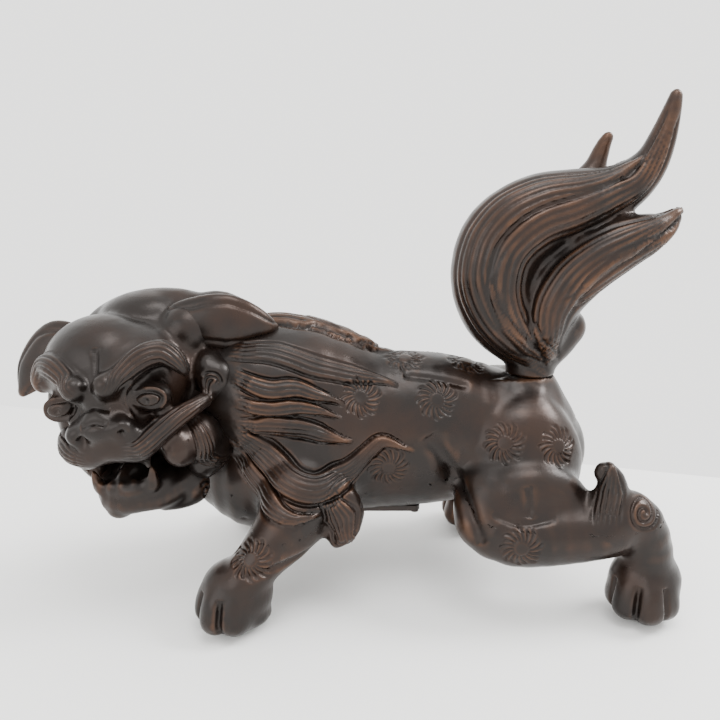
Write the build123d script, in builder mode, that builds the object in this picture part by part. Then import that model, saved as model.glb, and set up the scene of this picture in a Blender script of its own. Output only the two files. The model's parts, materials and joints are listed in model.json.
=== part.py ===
"""Prowling guardian lion in hollow cast bronze: castings, their pins and plugs, and a lift-out tail.

Millimetres, +Z up. The lion walks towards -X with its head turned to its own left (-Y).
The origin is the middle of the whole lion's bounding box, on the floor it stands on.
"""

import os

from build123d import *

os.makedirs("parts", exist_ok=True)

# ---------------------------------------------------------------- walls and fits
wall = 4.0  # bronze thickness of the hollow castings
lift_clearance = 0.15  # gap all round where the tail's tenon slides in its socket
seat_gap = 0.2  # gap under the tail's foot
brazed_gap = 0.05  # gap all round a brazed or peened joint

# ---------------------------------------------------------------- torso and neck
torso_sections = [  # (x, height of centre, half width, half height), chest to rump
    (-84, 60, 18, 20),
    (-72, 64, 31, 33),
    (-46, 74, 42, 45),
    (-8, 85, 41, 46),
    (30, 86.5, 38, 45.5),
    (60, 88.5, 35, 40.5),
    (88, 84, 36, 36),
    (108, 80, 32, 31),
    (124, 77, 17, 17),
]
neck_start = (-30.0, 0.0, 92.0)  # the neck's axis runs from here to the middle of the head
neck_radius = 34.0
neck_boss_start = 10.0  # distances along the neck's axis
collar_start = 12.0
collar_shoulder = 30.0
collar_end = 54.0
collar_nose_radius = 18.0
collar_wall = 4.0
neck_pin_radius = 1.6
neck_pin_at = 18.0
neck_pin_angles = (-50.0, 0.0, 50.0)  # round the neck, counted from straight up

# ---------------------------------------------------------------- head, in its own frame
# +X points out of the face, +Y to the lion's left, +Z up.
head_centre = (-116.0, -25.0, 116.0)
head_turn = 264.0  # direction of the face about +Z, counted from +X
head_bow = 3.0
head_tilt = 8.0
head_sections = [  # (forward, height of centre, half width, half height)
    (-42, 4, 22, 24),
    (-32, 3, 38, 36),
    (-10, 1, 48, 45),
    (14, 0, 48, 43),
    (30, -4, 40, 34),
    (43, -10, 30, 22),
    (54, -12, 20, 14),
]
mouth_roof = -25.0  # height of the upper lip over the open mouth
mouth_back = 4.0  # the jaw casting meets the head here
jaw_sections = [  # (forward, height of centre, half width, half height), hinge end to chin
    (4, -41, 17, 9),
    (22, -45, 20, 9),
    (40, -43, 17, 9),
    (50, -41, 11, 7),
]
jaw_pin_radius = 1.5
jaw_pin_length = 16.0
jaw_pin_side = 15.0
jaw_pin_height = -38.0
ear_stations = {  # (forward, left, up, half width, half thickness), root to tip
    "left": [(-6, 26, 33, 10, 7), (-6, 42, 37, 15, 5), (-8, 58, 32, 14, 4), (-10, 73, 22, 6, 2.5)],
    "right": [(-2, -26, 31, 10, 7), (-1, -38, 30, 14, 5), (2, -51, 20, 14, 4), (4, -61, 8, 6, 2.5)],
}
ear_pin_radius = 2.0
ear_pin_length = 16.0

# ---------------------------------------------------------------- legs
leg_paths = {  # (x, y, z, radius) from the root inside the torso to the wrist or ankle
    "left_foreleg": [(-22, -20, 76, 25), (-22, -38, 62, 24), (-20, -49, 47, 19), (-56, -61, 26, 14)],
    "right_foreleg": [(-22, 20, 76, 25), (-22, 38, 62, 24), (-20, 47, 47, 19), (-52, 54, 26, 14)],
    "left_hindleg": [
        (88, -14, 82, 28),
        (84, -36, 64, 26),
        (108, -46, 50, 17),
        (140, -50, 60, 14),
        (150, -54, 26, 12),
    ],
    "right_hindleg": [
        (88, 14, 82, 28),
        (76, 38, 60, 24),
        (84, 47, 44, 16),
        (102, 50, 44, 13),
        (84, 52, 24, 12),
    ],
}
leg_hollow_stations = 2  # a leg is hollow from this many stations above its end down to the sole
knuckle_share = 1.06  # a joint's ball, as a share of the rod that ends in it
paw_places = {  # (x, y, direction the toes point about +Z)
    "left_foreleg": (-64, -62, 205),
    "right_foreleg": (-60, 55, 170),
    "left_hindleg": (150, -55, 215),
    "right_hindleg": (75, 52, 185),
}
paw_radius = 20.5
paw_centre_z = 17.0
toe_radius = 9.5
toe_reach = 15.0  # from the paw's middle to a toe's middle
toe_spread = 120.0
toe_count = 4
toe_centre_z = 9.0
sole_plug_radius = 5.0
sole_plug_depth = 6.0
sole_plug_recess = 0.6

# A round tenon runs along Y from each leg through the torso's wall, and a cotter inside holds it.
tenon_places = {"foreleg": (-22.0, 76.0), "hindleg": (84.0, 80.0)}
tenon_radius = 9.0
tenon_inside = 15.0  # length of tenon inside the torso's wall
tenon_outside = 6.0  # length of tenon inside the leg, past the torso's skin
cotter_radius = 2.5
cotter_length = 26.0
cotter_from_wall = 9.0

# ---------------------------------------------------------------- tail and its socket
tail_x = 94.0
tail_seat_z = 120.0
socket_radius = 11.0
socket_floor = 4.0
seat_ring = 3.0  # width of the flat turned round the socket's rim
seat_depth = 6.0
tenon_width = 10.0
tail_tenon_depth = 24.0
tail_tenon_gap = 2.0  # space under the tenon's end
tail_tenon_in_plume = 32.0
tail_pin_radius = 1.5
tail_pin_height = 9.0  # above the seat
tail_stations = [  # (x, z, direction of the plume from +X towards +Z, half width, half depth)
    (94, 120, 90, 10.0, 9.0),
    (94, 131, 95, 13.0, 11.0),
    (90, 149, 92, 28.0, 16.0),
    (86, 168, 70, 36.0, 20.0),
    (98, 192, 42, 38.0, 21.0),
    (120, 206, 24, 32.0, 18.0),
    (138, 216, 32, 19.0, 12.0),
    (148, 232, 62, 11.0, 8.0),
    (153, 250, 78, 8.0, 6.0),
    (157, 269, 84, 2.5, 2.5),
]
plume_core = slice(2, 6)  # the stations that are hollow
flame_tips = [  # each a short horn of the plume: (x, y, z, radius) from root to point
    [(120, 8, 216, 9), (134, 18, 226, 7), (141, 24, 238, 5.5), (144, 26, 249, 3)],
    [(132, -4, 194, 12), (144, -6, 199, 10), (153, -8, 205, 6), (158, -9, 214, 2)],
    [(104, 0, 150, 12), (113, 0, 153, 10), (119, 0, 159, 5)],
]

# ---------------------------------------------------------------- belly plate and core plugs
plate_x = 12.0
plate_length = 44.0
plate_width = 24.0
plate_thickness = 3.0
plate_z = 41.5  # underside of the plate
plate_corner = 4.0
plate_seat = 6.0  # width of the ledge that the plate is riveted to
plate_pad = 4.0  # thickness of that ledge
rivet_radius = 1.5
rivet_head_radius = 2.4
rivet_head_height = 1.0
plug_radius = 3.0
plug_reach = 60.0  # from the torso's middle to past its skin
plug_places = [(6.0, 34.0), (50.0, 30.0), (50.0, -30.0), (10.0, -34.0)]  # (x, lean from straight up)

# ---------------------------------------------------------------- frames and helpers
origin_shift = Location((3.9, 3.9, 0))  # from the sizes' own origin to the middle of the bounding box
above_belly = 62.0  # a height inside the torso's hollow, over the plate's ledge and under its roof
head_frame = (
    Location(head_centre) * Rotation(0, 0, head_turn) * Rotation(0, head_bow, 0) * Rotation(head_tilt, 0, 0)
)
neck_axis = Plane(neck_start, x_dir=(0, 0, 1), z_dir=Vector(*head_centre) - Vector(*neck_start))


def inset(sections, thickness):
    """The same cross-sections, smaller all round, with the two end ones moved inwards."""
    shrunk = [(x, z, width - thickness, height - thickness) for x, z, width, height in sections]
    shrunk[0] = (sections[0][0] + thickness, *shrunk[0][1:])
    shrunk[-1] = (sections[-1][0] - thickness, *shrunk[-1][1:])
    return shrunk


def form_along_x(sections):
    """One solid through upright ellipses of (x, z, half width, half height)."""
    ellipses = []
    for x, z, half_width, half_height in sections:
        with BuildSketch(Plane((x, 0, z), x_dir=(0, 1, 0), z_dir=(1, 0, 0))) as ellipse:
            Ellipse(half_width, half_height)
        ellipses.append(ellipse.sketch)
    with BuildPart() as form:
        loft(sections=ellipses)
    return form.part


def form_along_path(stations):
    """One solid along a path of (x, y, z, radius) stations: tapered rods joined by round knuckles."""
    with BuildPart() as form:
        for near, far in zip(stations, stations[1:]):
            start, end = Vector(*near[:3]), Vector(*far[:3])
            rod = Plane(start, z_dir=end - start)
            with BuildSketch(rod) as thick_end:
                Circle(near[3])
            with BuildSketch(rod.offset((end - start).length)) as thin_end:
                Circle(far[3])
            loft(sections=[thick_end.sketch, thin_end.sketch], ruled=True)
        for x, y, z, radius in stations[:-1]:
            with Locations((x, y, z)):
                Sphere(radius * knuckle_share)
    return form.part


def rod(plane, start, end, radius):
    """A cylinder along a plane's normal, between two distances from the plane."""
    with BuildPart() as cylinder:
        with BuildSketch(plane.offset(start)):
            Circle(radius)
        extrude(amount=end - start)
    return cylinder.part


def tube(plane, start, end, radius, bore):
    """A cylinder with a round bore, along a plane's normal."""
    with BuildPart() as sleeve:
        add(rod(plane, start, end, radius))
        add(rod(plane, start, end, bore), mode=Mode.SUBTRACT)
    return sleeve.part


def plate_block(bottom, top, larger):
    """An upright block with the belly plate's outline, larger all round by some distance."""
    with BuildPart() as block:
        with BuildSketch(Plane((plate_x, 0, bottom))):
            RectangleRounded(plate_length + 2 * larger, plate_width + 2 * larger, plate_corner)
        extrude(amount=top - bottom)
    return block.part


def block_under_face(back, roof):
    """A block in the head's frame that takes away all that is before back and below roof."""
    _, _, widest, tallest = head_sections[2]
    length = head_sections[-1][0]
    with BuildPart() as block:
        with BuildSketch(Plane(head_frame).offset(roof)):
            with Locations((back + length / 2, 0)):
                Rectangle(length, 2 * widest)
        extrude(amount=-2 * tallest)
    return block.part


def ear_form(stations):
    """An ear from inside the head to its tip, through upright ellipses facing sideways."""
    outwards = 1 if stations[-1][1] > 0 else -1
    ellipses = []
    for forward, left, up, half_width, half_thickness in stations:
        with BuildSketch(Plane((forward, left, up), x_dir=(1, 0, 0), z_dir=(0, outwards, 0))) as ellipse:
            Ellipse(half_width, half_thickness)
        ellipses.append(ellipse.sketch)
    with BuildPart() as form:
        loft(sections=ellipses)
    return form.part.moved(head_frame)


def square_bar(bottom, top, width):
    """An upright square bar on the tail's axis."""
    with BuildPart() as bar:
        with BuildSketch(Plane((tail_x, 0, bottom))):
            Rectangle(width, width)
        extrude(amount=top - bottom)
    return bar.part


def paw(place):
    """A round paw with a flat sole on the floor and four toes, from the table of paw places."""
    x, y, toes_towards = place
    with BuildPart() as form:
        with Locations((0, 0, paw_centre_z)):
            Sphere(paw_radius)
        with PolarLocations(toe_reach, toe_count, -toe_spread / 2, toe_spread, endpoint=True):
            with Locations((0, 0, toe_centre_z)):
                Sphere(toe_radius)
        split(bisect_by=Plane.XY, keep=Keep.TOP)
    return form.part.moved(Location((x, y, 0), (0, 0, toes_towards)))


def paw_core(place):
    """The hollow inside a paw."""
    with BuildPart() as core:
        with Locations((place[0], place[1], paw_centre_z)):
            Sphere(paw_radius - wall)
        split(bisect_by=Plane.XY.offset(wall), keep=Keep.TOP)
    return core.part


def plume(stations, less=0.0):
    """One solid through ellipses square to the tail's curve, each smaller all round by less."""
    ellipses = []
    for x, z, direction, half_width, half_depth in stations:
        along = Vector(1, 0, 0).rotate(Axis.Y, -direction)
        with BuildSketch(Plane((x, 0, z), x_dir=along.rotate(Axis.Y, -90), z_dir=along)) as ellipse:
            Ellipse(half_width - less, half_depth - less)
        ellipses.append(ellipse.sketch)
    with BuildPart() as form:
        loft(sections=ellipses)
    return form.part


def torso_half_width(x):
    """Half width of the torso's skin at x, read between the two nearest cross-sections."""
    for near, far in zip(torso_sections, torso_sections[1:]):
        if near[0] <= x <= far[0]:
            share = (x - near[0]) / (far[0] - near[0])
            return near[2] + share * (far[2] - near[2])
    raise ValueError(f"x = {x} is outside the torso")


def torso_middle(x):
    """Height of the torso's middle at x, read the same way."""
    for near, far in zip(torso_sections, torso_sections[1:]):
        if near[0] <= x <= far[0]:
            return near[1] + (x - near[0]) / (far[0] - near[0]) * (far[1] - near[1])
    raise ValueError(f"x = {x} is outside the torso")


def side_of(name):
    """-1 for a piece on the lion's left, 1 for one on its right."""
    return -1 if name.startswith("left") else 1


def side_plane(name, place):
    """Plane on the middle of the lion at (x, z), facing out to the named side."""
    return Plane((place[0], 0, place[1]), x_dir=(1, 0, 0), z_dir=(0, side_of(name), 0))


def save(shape, label):
    """Centre a finished piece on the lion's origin, name it and write it as one STEP file."""
    placed = shape.moved(origin_shift)
    placed.label = label
    export_step(placed, f"parts/{label}.step")


def cotter_plane(tenon_plane, distance):
    """Level plane through the middle of an upright cotter, a distance along a tenon's plane."""
    return Plane(tenon_plane.origin + tenon_plane.z_dir * distance)


def leg_joint(name):
    """Plane, inner end, outer end and cotter distance of a leg's tenon."""
    place = tenon_places[name.split("_")[1]]
    skin = torso_half_width(place[0])
    inner = skin - wall - tenon_inside
    return side_plane(name, place), inner, skin + tenon_outside, skin - wall - cotter_from_wall


# ---------------------------------------------------------------- shared forms
torso_body = form_along_x(torso_sections)
head_form = form_along_x(head_sections).moved(head_frame)
neck_length = (Vector(*head_centre) - Vector(*neck_start)).length
leg_names = list(leg_paths)
leg_tenons = {name: leg_joint(name) for name in leg_names}
neck_pin_planes = [
    Plane(neck_axis.location * Location((0, 0, neck_pin_at)) * Rotation(0, 0, angle) * Rotation(0, 90, 0))
    for angle in neck_pin_angles
]
plug_planes = [Plane(Location((x, 0, torso_middle(x)), (lean, 0, 0))) for x, lean in plug_places]
rivet_planes = [
    Plane((plate_x + x, y, plate_z))
    for x in (-(plate_length - plate_seat) / 2, (plate_length - plate_seat) / 2)
    for y in (-(plate_width - plate_seat) / 2, (plate_width - plate_seat) / 2)
]
tail_axis = Plane((tail_x, 0, 0))

# ---------------------------------------------------------------- torso casting, hollow, with the neck's stub
with BuildPart() as torso_hollow:
    add(form_along_x(inset(torso_sections, wall)))
    add(rod(neck_axis, neck_boss_start, neck_length, neck_radius), mode=Mode.SUBTRACT)
    add(rod(neck_axis, 0, neck_length, neck_radius - wall))

with BuildPart() as plate_ledge:
    add(plate_block(0, plate_z + plate_thickness + plate_pad, wall))
    add(torso_body, mode=Mode.INTERSECT)

with BuildPart() as torso_casting:
    add(torso_body)
    add(rod(neck_axis, 0, neck_length, neck_radius))
    add(torso_hollow.part, mode=Mode.SUBTRACT)
    add(plate_ledge.part)
    add(plate_block(0, plate_z + plate_thickness, brazed_gap), mode=Mode.SUBTRACT)
    add(plate_block(0, above_belly, -plate_seat), mode=Mode.SUBTRACT)
    for plane in rivet_planes:
        add(rod(plane, 0, plate_thickness + 2 * plate_pad, rivet_radius + brazed_gap), mode=Mode.SUBTRACT)
    for plane in plug_planes:
        add(rod(plane, 0, plug_reach, plug_radius + brazed_gap), mode=Mode.SUBTRACT)
    for plane in neck_pin_planes:
        add(rod(plane, 0, 2 * neck_radius, neck_pin_radius + brazed_gap), mode=Mode.SUBTRACT)
    for plane, inner, outer, _ in leg_tenons.values():
        add(rod(plane, inner, outer, tenon_radius + brazed_gap), mode=Mode.SUBTRACT)
    add(rod(tail_axis, above_belly, tail_seat_z, socket_radius + brazed_gap), mode=Mode.SUBTRACT)
    add(rod(tail_axis, tail_seat_z, tail_seat_z + seat_depth, socket_radius + seat_ring), mode=Mode.SUBTRACT)
    add(head_form, mode=Mode.SUBTRACT)
save(torso_casting.part, "torso_casting")

with BuildPart() as belly_plate:
    add(plate_block(plate_z, plate_z + plate_thickness, 0))
    for plane in rivet_planes:
        add(rod(plane, 0, plate_thickness, rivet_radius + brazed_gap), mode=Mode.SUBTRACT)
save(belly_plate.part, "belly_plate")

with BuildPart() as belly_plate_rivets:
    for plane in rivet_planes:
        grip = plate_thickness + plate_pad
        add(rod(plane, -rivet_head_height, 0, rivet_head_radius))
        add(rod(plane, 0, grip, rivet_radius))
        add(rod(plane, grip, grip + rivet_head_height, rivet_head_radius))
save(belly_plate_rivets.part, "belly_plate_rivets")

with BuildPart() as core_plugs:
    for plane in plug_planes:
        add(rod(plane, 0, plug_reach, plug_radius))
    add(torso_body, mode=Mode.INTERSECT)
    add(torso_hollow.part, mode=Mode.SUBTRACT)
save(core_plugs.part, "core_plugs")

# ---------------------------------------------------------------- neck collar, between the torso and the head
collar_radius = neck_radius - wall - brazed_gap
web_start = collar_shoulder - collar_wall
nose_bore = collar_nose_radius - collar_wall

with BuildPart() as neck_collar:
    add(tube(neck_axis, collar_start, collar_shoulder, collar_radius, collar_radius - collar_wall))
    add(tube(neck_axis, web_start, collar_shoulder, collar_radius, nose_bore))
    add(tube(neck_axis, web_start, collar_end, collar_nose_radius, nose_bore))
    for plane in neck_pin_planes:
        add(rod(plane, 0, 2 * neck_radius, neck_pin_radius + brazed_gap), mode=Mode.SUBTRACT)
save(neck_collar.part, "neck_collar")

with BuildPart() as neck_pins:
    for plane in neck_pin_planes:
        add(rod(plane, collar_radius - collar_wall, neck_radius, neck_pin_radius))
save(neck_pins.part, "neck_pins")

# ---------------------------------------------------------------- head casting, hollow, with the mouth open
jaw_form = form_along_x(jaw_sections).moved(head_frame)
jaw_pin_half = jaw_pin_length / 2
jaw_pin_hole = jaw_pin_radius + brazed_gap
mouth = block_under_face(mouth_back, mouth_roof)
mouth_walls = block_under_face(mouth_back - wall, mouth_roof + wall)

ear_axes = {}
for side_name, stations in ear_stations.items():
    root, blade = (Vector(*station[:3]) for station in stations[:2])
    ear_axes[side_name] = Plane(head_frame * Plane(root, z_dir=blade - root).location)
jaw_pin_planes = [
    Plane(head_frame * Plane((mouth_back, side * jaw_pin_side, jaw_pin_height), z_dir=(1, 0, 0)).location)
    for side in (-1, 1)
]

with BuildPart() as head_hollow:
    add(form_along_x(inset(head_sections, wall)).moved(head_frame))
    add(mouth_walls, mode=Mode.SUBTRACT)

with BuildPart() as head_casting:
    add(head_form)
    add(head_hollow.part, mode=Mode.SUBTRACT)
    add(mouth, mode=Mode.SUBTRACT)
    add(rod(neck_axis, 0, collar_end + wall, collar_nose_radius + brazed_gap), mode=Mode.SUBTRACT)
    for plane in ear_axes.values():
        add(rod(plane, -ear_pin_length / 2, ear_pin_length, ear_pin_radius + brazed_gap), mode=Mode.SUBTRACT)
    for plane in jaw_pin_planes:
        add(rod(plane, -jaw_pin_half, jaw_pin_half, jaw_pin_hole), mode=Mode.SUBTRACT)
save(head_casting.part, "head_casting")

with BuildPart() as lower_jaw:
    add(jaw_form)
    for plane in jaw_pin_planes:
        add(rod(plane, 0, jaw_pin_half, jaw_pin_hole), mode=Mode.SUBTRACT)
save(lower_jaw.part, "lower_jaw")

with BuildPart() as jaw_pins:
    for plane in jaw_pin_planes:
        add(rod(plane, -jaw_pin_half, jaw_pin_half, jaw_pin_radius))
save(jaw_pins.part, "jaw_pins")

for side_name, stations in ear_stations.items():
    with BuildPart() as ear:
        add(ear_form(stations))
        add(head_form, mode=Mode.SUBTRACT)
        add(rod(ear_axes[side_name], 0, ear_pin_length, ear_pin_radius + brazed_gap), mode=Mode.SUBTRACT)
    save(ear.part, f"{side_name}_ear")

with BuildPart() as ear_pins:
    for plane in ear_axes.values():
        add(rod(plane, -ear_pin_length / 4, 3 * ear_pin_length / 4, ear_pin_radius))
save(ear_pins.part, "ear_pins")

# ---------------------------------------------------------------- legs, each with its paw and its tenon
cotter_ends = (-cotter_length / 2, cotter_length / 2)

for name in leg_names:
    plane, inner, outer, cotter_at = leg_tenons[name]
    sole = Plane((*paw_places[name][:2], 0))
    hollow_path = [(x, y, z, radius - wall) for x, y, z, radius in leg_paths[name][-leg_hollow_stations:]]
    with BuildPart() as leg_core:
        add(form_along_path(hollow_path))
        add(paw_core(paw_places[name]))

    with BuildPart() as leg:
        add(form_along_path(leg_paths[name]))
        add(torso_body, mode=Mode.SUBTRACT)
        add(rod(plane, inner, outer, tenon_radius))
        add(paw(paw_places[name]))
        add(leg_core.part, mode=Mode.SUBTRACT)
        add(rod(sole, 0, sole_plug_depth, sole_plug_radius + brazed_gap), mode=Mode.SUBTRACT)
        add(rod(cotter_plane(plane, cotter_at), *cotter_ends, cotter_radius + brazed_gap), mode=Mode.SUBTRACT)
    save(leg.part, name)

with BuildPart() as leg_cotters:
    for plane, _, _, cotter_at in leg_tenons.values():
        add(rod(cotter_plane(plane, cotter_at), *cotter_ends, cotter_radius))
save(leg_cotters.part, "leg_cotters")

with BuildPart() as sole_plugs:
    for paw_x, paw_y, _ in paw_places.values():
        add(rod(Plane((paw_x, paw_y, 0)), sole_plug_recess, sole_plug_depth, sole_plug_radius))
save(sole_plugs.part, "sole_plugs")

# ---------------------------------------------------------------- tail, its tenon and its socket
tail_foot = tail_seat_z + seat_gap
tenon_end = tail_seat_z - tail_tenon_depth
tenon_top = tail_seat_z + tail_tenon_in_plume
tail_pin_plane = Plane((tail_x, 0, tail_seat_z + tail_pin_height), x_dir=(1, 0, 0), z_dir=(0, 1, 0))
tail_pin_hole = tail_pin_radius + brazed_gap
tail_pin_side = tail_stations[1][4]  # half the plume's depth where the pin goes through it
tail_pin_inset = 1.0  # the pin's ends lie this far under the plume's skin
socket_width = tenon_width + 2 * lift_clearance

with BuildPart() as tail_plume:
    add(plume(tail_stations))
    for tip in flame_tips:
        add(form_along_path(tip))
    add(plume(tail_stations[plume_core], wall), mode=Mode.SUBTRACT)
    add(square_bar(above_belly, tail_foot, 2 * tail_stations[2][3]), mode=Mode.SUBTRACT)
    add(square_bar(above_belly, tenon_top + brazed_gap, tenon_width + 2 * brazed_gap), mode=Mode.SUBTRACT)
    add(rod(tail_pin_plane, -tail_pin_side, tail_pin_side, tail_pin_hole), mode=Mode.SUBTRACT)
save(tail_plume.part, "tail_plume")

with BuildPart() as tail_tenon:
    add(square_bar(tenon_end, tenon_top, tenon_width))
    add(rod(tail_pin_plane, -tail_pin_side, tail_pin_side, tail_pin_hole), mode=Mode.SUBTRACT)
save(tail_tenon.part, "tail_tenon")

with BuildPart() as tail_tenon_pin:
    add(rod(tail_pin_plane, tail_pin_inset - tail_pin_side, tail_pin_side - tail_pin_inset, tail_pin_radius))
save(tail_tenon_pin.part, "tail_tenon_pin")

with BuildPart() as tail_socket:
    add(rod(tail_axis, tenon_end - tail_tenon_gap - socket_floor, tail_seat_z, socket_radius))
    add(square_bar(tenon_end - tail_tenon_gap, tail_seat_z, socket_width), mode=Mode.SUBTRACT)
save(tail_socket.part, "tail_socket")
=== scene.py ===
"""Looks of a prowling guardian lion in cast bronze.

The castings are modelled like clay in the lion's own working space, in millimetres: +X towards the tail,
-Y the lion's left side, +Z up, with the floor at 0. Each finished casting is then carried into the model's
frame, in metres, where the pins, plugs, collar and socket of the model already stand.
"""

from __future__ import annotations

import json
import logging
import math
from dataclasses import dataclass, field
from enum import Enum
from typing import Sequence

import bpy
import numpy as np
from mathutils import Euler, Matrix, Vector
from mathutils.bvhtree import BVHTree


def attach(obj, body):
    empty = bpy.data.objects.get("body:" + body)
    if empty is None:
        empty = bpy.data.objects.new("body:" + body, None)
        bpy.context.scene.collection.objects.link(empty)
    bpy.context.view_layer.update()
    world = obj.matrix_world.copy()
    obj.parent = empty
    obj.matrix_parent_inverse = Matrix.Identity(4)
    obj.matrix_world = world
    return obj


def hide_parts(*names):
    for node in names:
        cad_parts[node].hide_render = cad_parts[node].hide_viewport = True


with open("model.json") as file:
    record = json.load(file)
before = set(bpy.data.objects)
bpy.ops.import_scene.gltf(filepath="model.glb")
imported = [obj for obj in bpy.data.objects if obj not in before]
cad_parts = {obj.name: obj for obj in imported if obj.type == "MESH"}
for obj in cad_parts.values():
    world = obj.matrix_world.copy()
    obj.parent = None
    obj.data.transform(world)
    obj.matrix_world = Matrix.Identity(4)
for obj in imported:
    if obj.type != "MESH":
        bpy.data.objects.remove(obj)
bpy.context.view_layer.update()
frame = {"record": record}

logging.basicConfig(level=logging.INFO, format="%(message)s")
LOG = logging.getLogger("guardian_lion")

MM = 0.001
FORE_SOLE_MM = (-56.0, -62.0, 0.0)  # the left fore sole's mount in the working space


def working_shift() -> Vector:
    """Return the step from the working space to the model's frame, in metres."""
    sole = next(mount for mount in frame["record"]["mounts"] if mount["name"] == "left_fore_sole")
    return Vector(sole["pos_m"]) - Vector(FORE_SOLE_MM) * MM


# ---------------------------------------------------------------------------------------------- clay


def smooth_path(points: Sequence[Sequence[float]], spacing: float) -> np.ndarray:
    """Run a smooth curve through a few points, in any number of columns.

    Args:
        points: the points, each with its place first and any sizes after it.
        spacing: the distance between the points that come back, in millimetres.

    Returns:
        One row for each point along the curve.
    """
    given = np.asarray(points, float)
    padded = np.vstack([2 * given[0] - given[1], given, 2 * given[-1] - given[-2]])
    rows = []
    for i in range(1, len(padded) - 2):
        before, start, end, after = padded[i - 1 : i + 3]
        steps = max(2, int(np.linalg.norm((end - start)[: min(3, given.shape[1])]) / spacing))
        for t in np.linspace(0, 1, steps, endpoint=False):
            rows.append(
                0.5
                * (
                    2 * start
                    + (end - before) * t
                    + (2 * before - 5 * start + 4 * end - after) * t**2
                    + (3 * start - before - 3 * end + after) * t**3
                )
            )
    rows.append(given[-1])
    return np.array(rows)


def head_frame() -> Matrix:
    """Return the head's own axes in the working space: +X out of the face, +Y to the lion's left."""
    turn = Matrix.Rotation(math.radians(264), 4, "Z")
    bow = Matrix.Rotation(math.radians(3), 4, "Y")
    tilt = Matrix.Rotation(math.radians(8), 4, "X")
    return Matrix.Translation((-116, -25, 116)) @ turn @ bow @ tilt


@dataclass
class Clay:
    """Lumps that are pressed together into one closed skin."""

    name: str
    space: Matrix = field(default_factory=lambda: Matrix.Identity(4))
    lumps: list[bpy.types.Object] = field(default_factory=list)

    def ball(self, centre: Sequence[float], radii: Sequence[float], turn: Sequence[float] = (0, 0,
            0)) -> None:
        """Add an egg of clay, turned by three angles in degrees."""
        bpy.ops.mesh.primitive_uv_sphere_add(segments=24, ring_count=14, radius=1.0)
        lump = bpy.context.object
        angles = Euler([math.radians(angle) for angle in turn])
        lump.data.transform(self.space @ Matrix.LocRotScale(Vector(centre), angles, Vector(radii)))
        self.lumps.append(lump)

    def limb(self, stations: Sequence[Sequence[float]], closeness: float = 0.45) -> None:
        """Add a tapered roll of clay through stations of (x, y, z, radius)."""
        thinnest = min(station[3] for station in stations)
        for x, y, z, radius in smooth_path(stations, max(1.2, closeness * thinnest)):
            self.ball((x, y, z), (radius, radius, radius))

    def strap(self, stations: Sequence[Sequence[float]], flat: Sequence[float], thin: float) -> None:
        """Add a flattened roll: as limb, but pressed to a share of its radius along one direction."""
        thinnest = min(station[3] for station in stations)
        turn = Vector((0, 0, 1)).rotation_difference(Vector(flat)).to_euler()
        angles = [math.degrees(angle) for angle in turn]
        for x, y, z, radius in smooth_path(stations, max(1.0, 0.45 * thinnest)):
            self.ball((x, y, z), (radius, radius, radius * thin), angles)

    def knead(self, coarse: float, soften: int, fine: float, polish: int) -> bpy.types.Object:
        """Press the lumps into one skin.

        Args:
            coarse: cell size of the first skin, in millimetres.
            soften: smoothing passes on it, which round the places where lumps meet.
            fine: cell size of the last skin.
            polish: smoothing passes on the last skin.

        Returns:
            The skin as one object.
        """
        bpy.ops.object.select_all(action="DESELECT")
        for lump in self.lumps:
            lump.select_set(True)
        bpy.context.view_layer.objects.active = self.lumps[0]
        bpy.ops.object.join()
        skin = bpy.context.object
        skin.name = self.name
        self.lumps = [skin]
        for cell, passes in ((coarse, soften), (fine, polish)):
            remesh = skin.modifiers.new("skin", "REMESH")
            remesh.mode = "VOXEL"
            remesh.voxel_size = cell
            bpy.ops.object.modifier_apply(modifier=remesh.name)
            if passes:
                smooth = skin.modifiers.new("soften", "SMOOTH")
                smooth.factor = 0.5
                smooth.iterations = passes
                bpy.ops.object.modifier_apply(modifier=smooth.name)
        return skin


# ------------------------------------------------------------------------------------------ chasing


@dataclass(frozen=True)
class View:
    """A direction that strokes are laid from: two axes to draw in, and one into the metal."""

    origin: Vector
    across: Vector
    up: Vector
    into: Vector
    reach: float = 300.0


LEFT_FLANK = View(Vector((0, 0, 0)), Vector((1, 0, 0)), Vector((0, 0, 1)), Vector((0, 1, 0)))
RIGHT_FLANK = View(Vector((0, 0, 0)), Vector((1, 0, 0)), Vector((0, 0, 1)), Vector((0, -1, 0)))
BACK_VIEW = View(Vector((0, 0, 0)), Vector((1, 0, 0)), Vector((0, 1, 0)), Vector((0, 0, -1)))


def head_view(yaw: float, pitch: float) -> View:
    """Return a view of the head from an angle to its left and above its face, in degrees."""
    axes = head_frame().to_3x3()
    yaw, pitch = math.radians(yaw), math.radians(pitch)
    out = Vector((math.cos(yaw) * math.cos(pitch), math.sin(yaw) * math.cos(pitch), math.sin(pitch)))
    across = Vector((-math.sin(yaw), math.cos(yaw), 0))
    up = out.cross(across)
    return View(head_frame().translation, axes @ across, axes @ up, axes @ -out)


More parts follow.
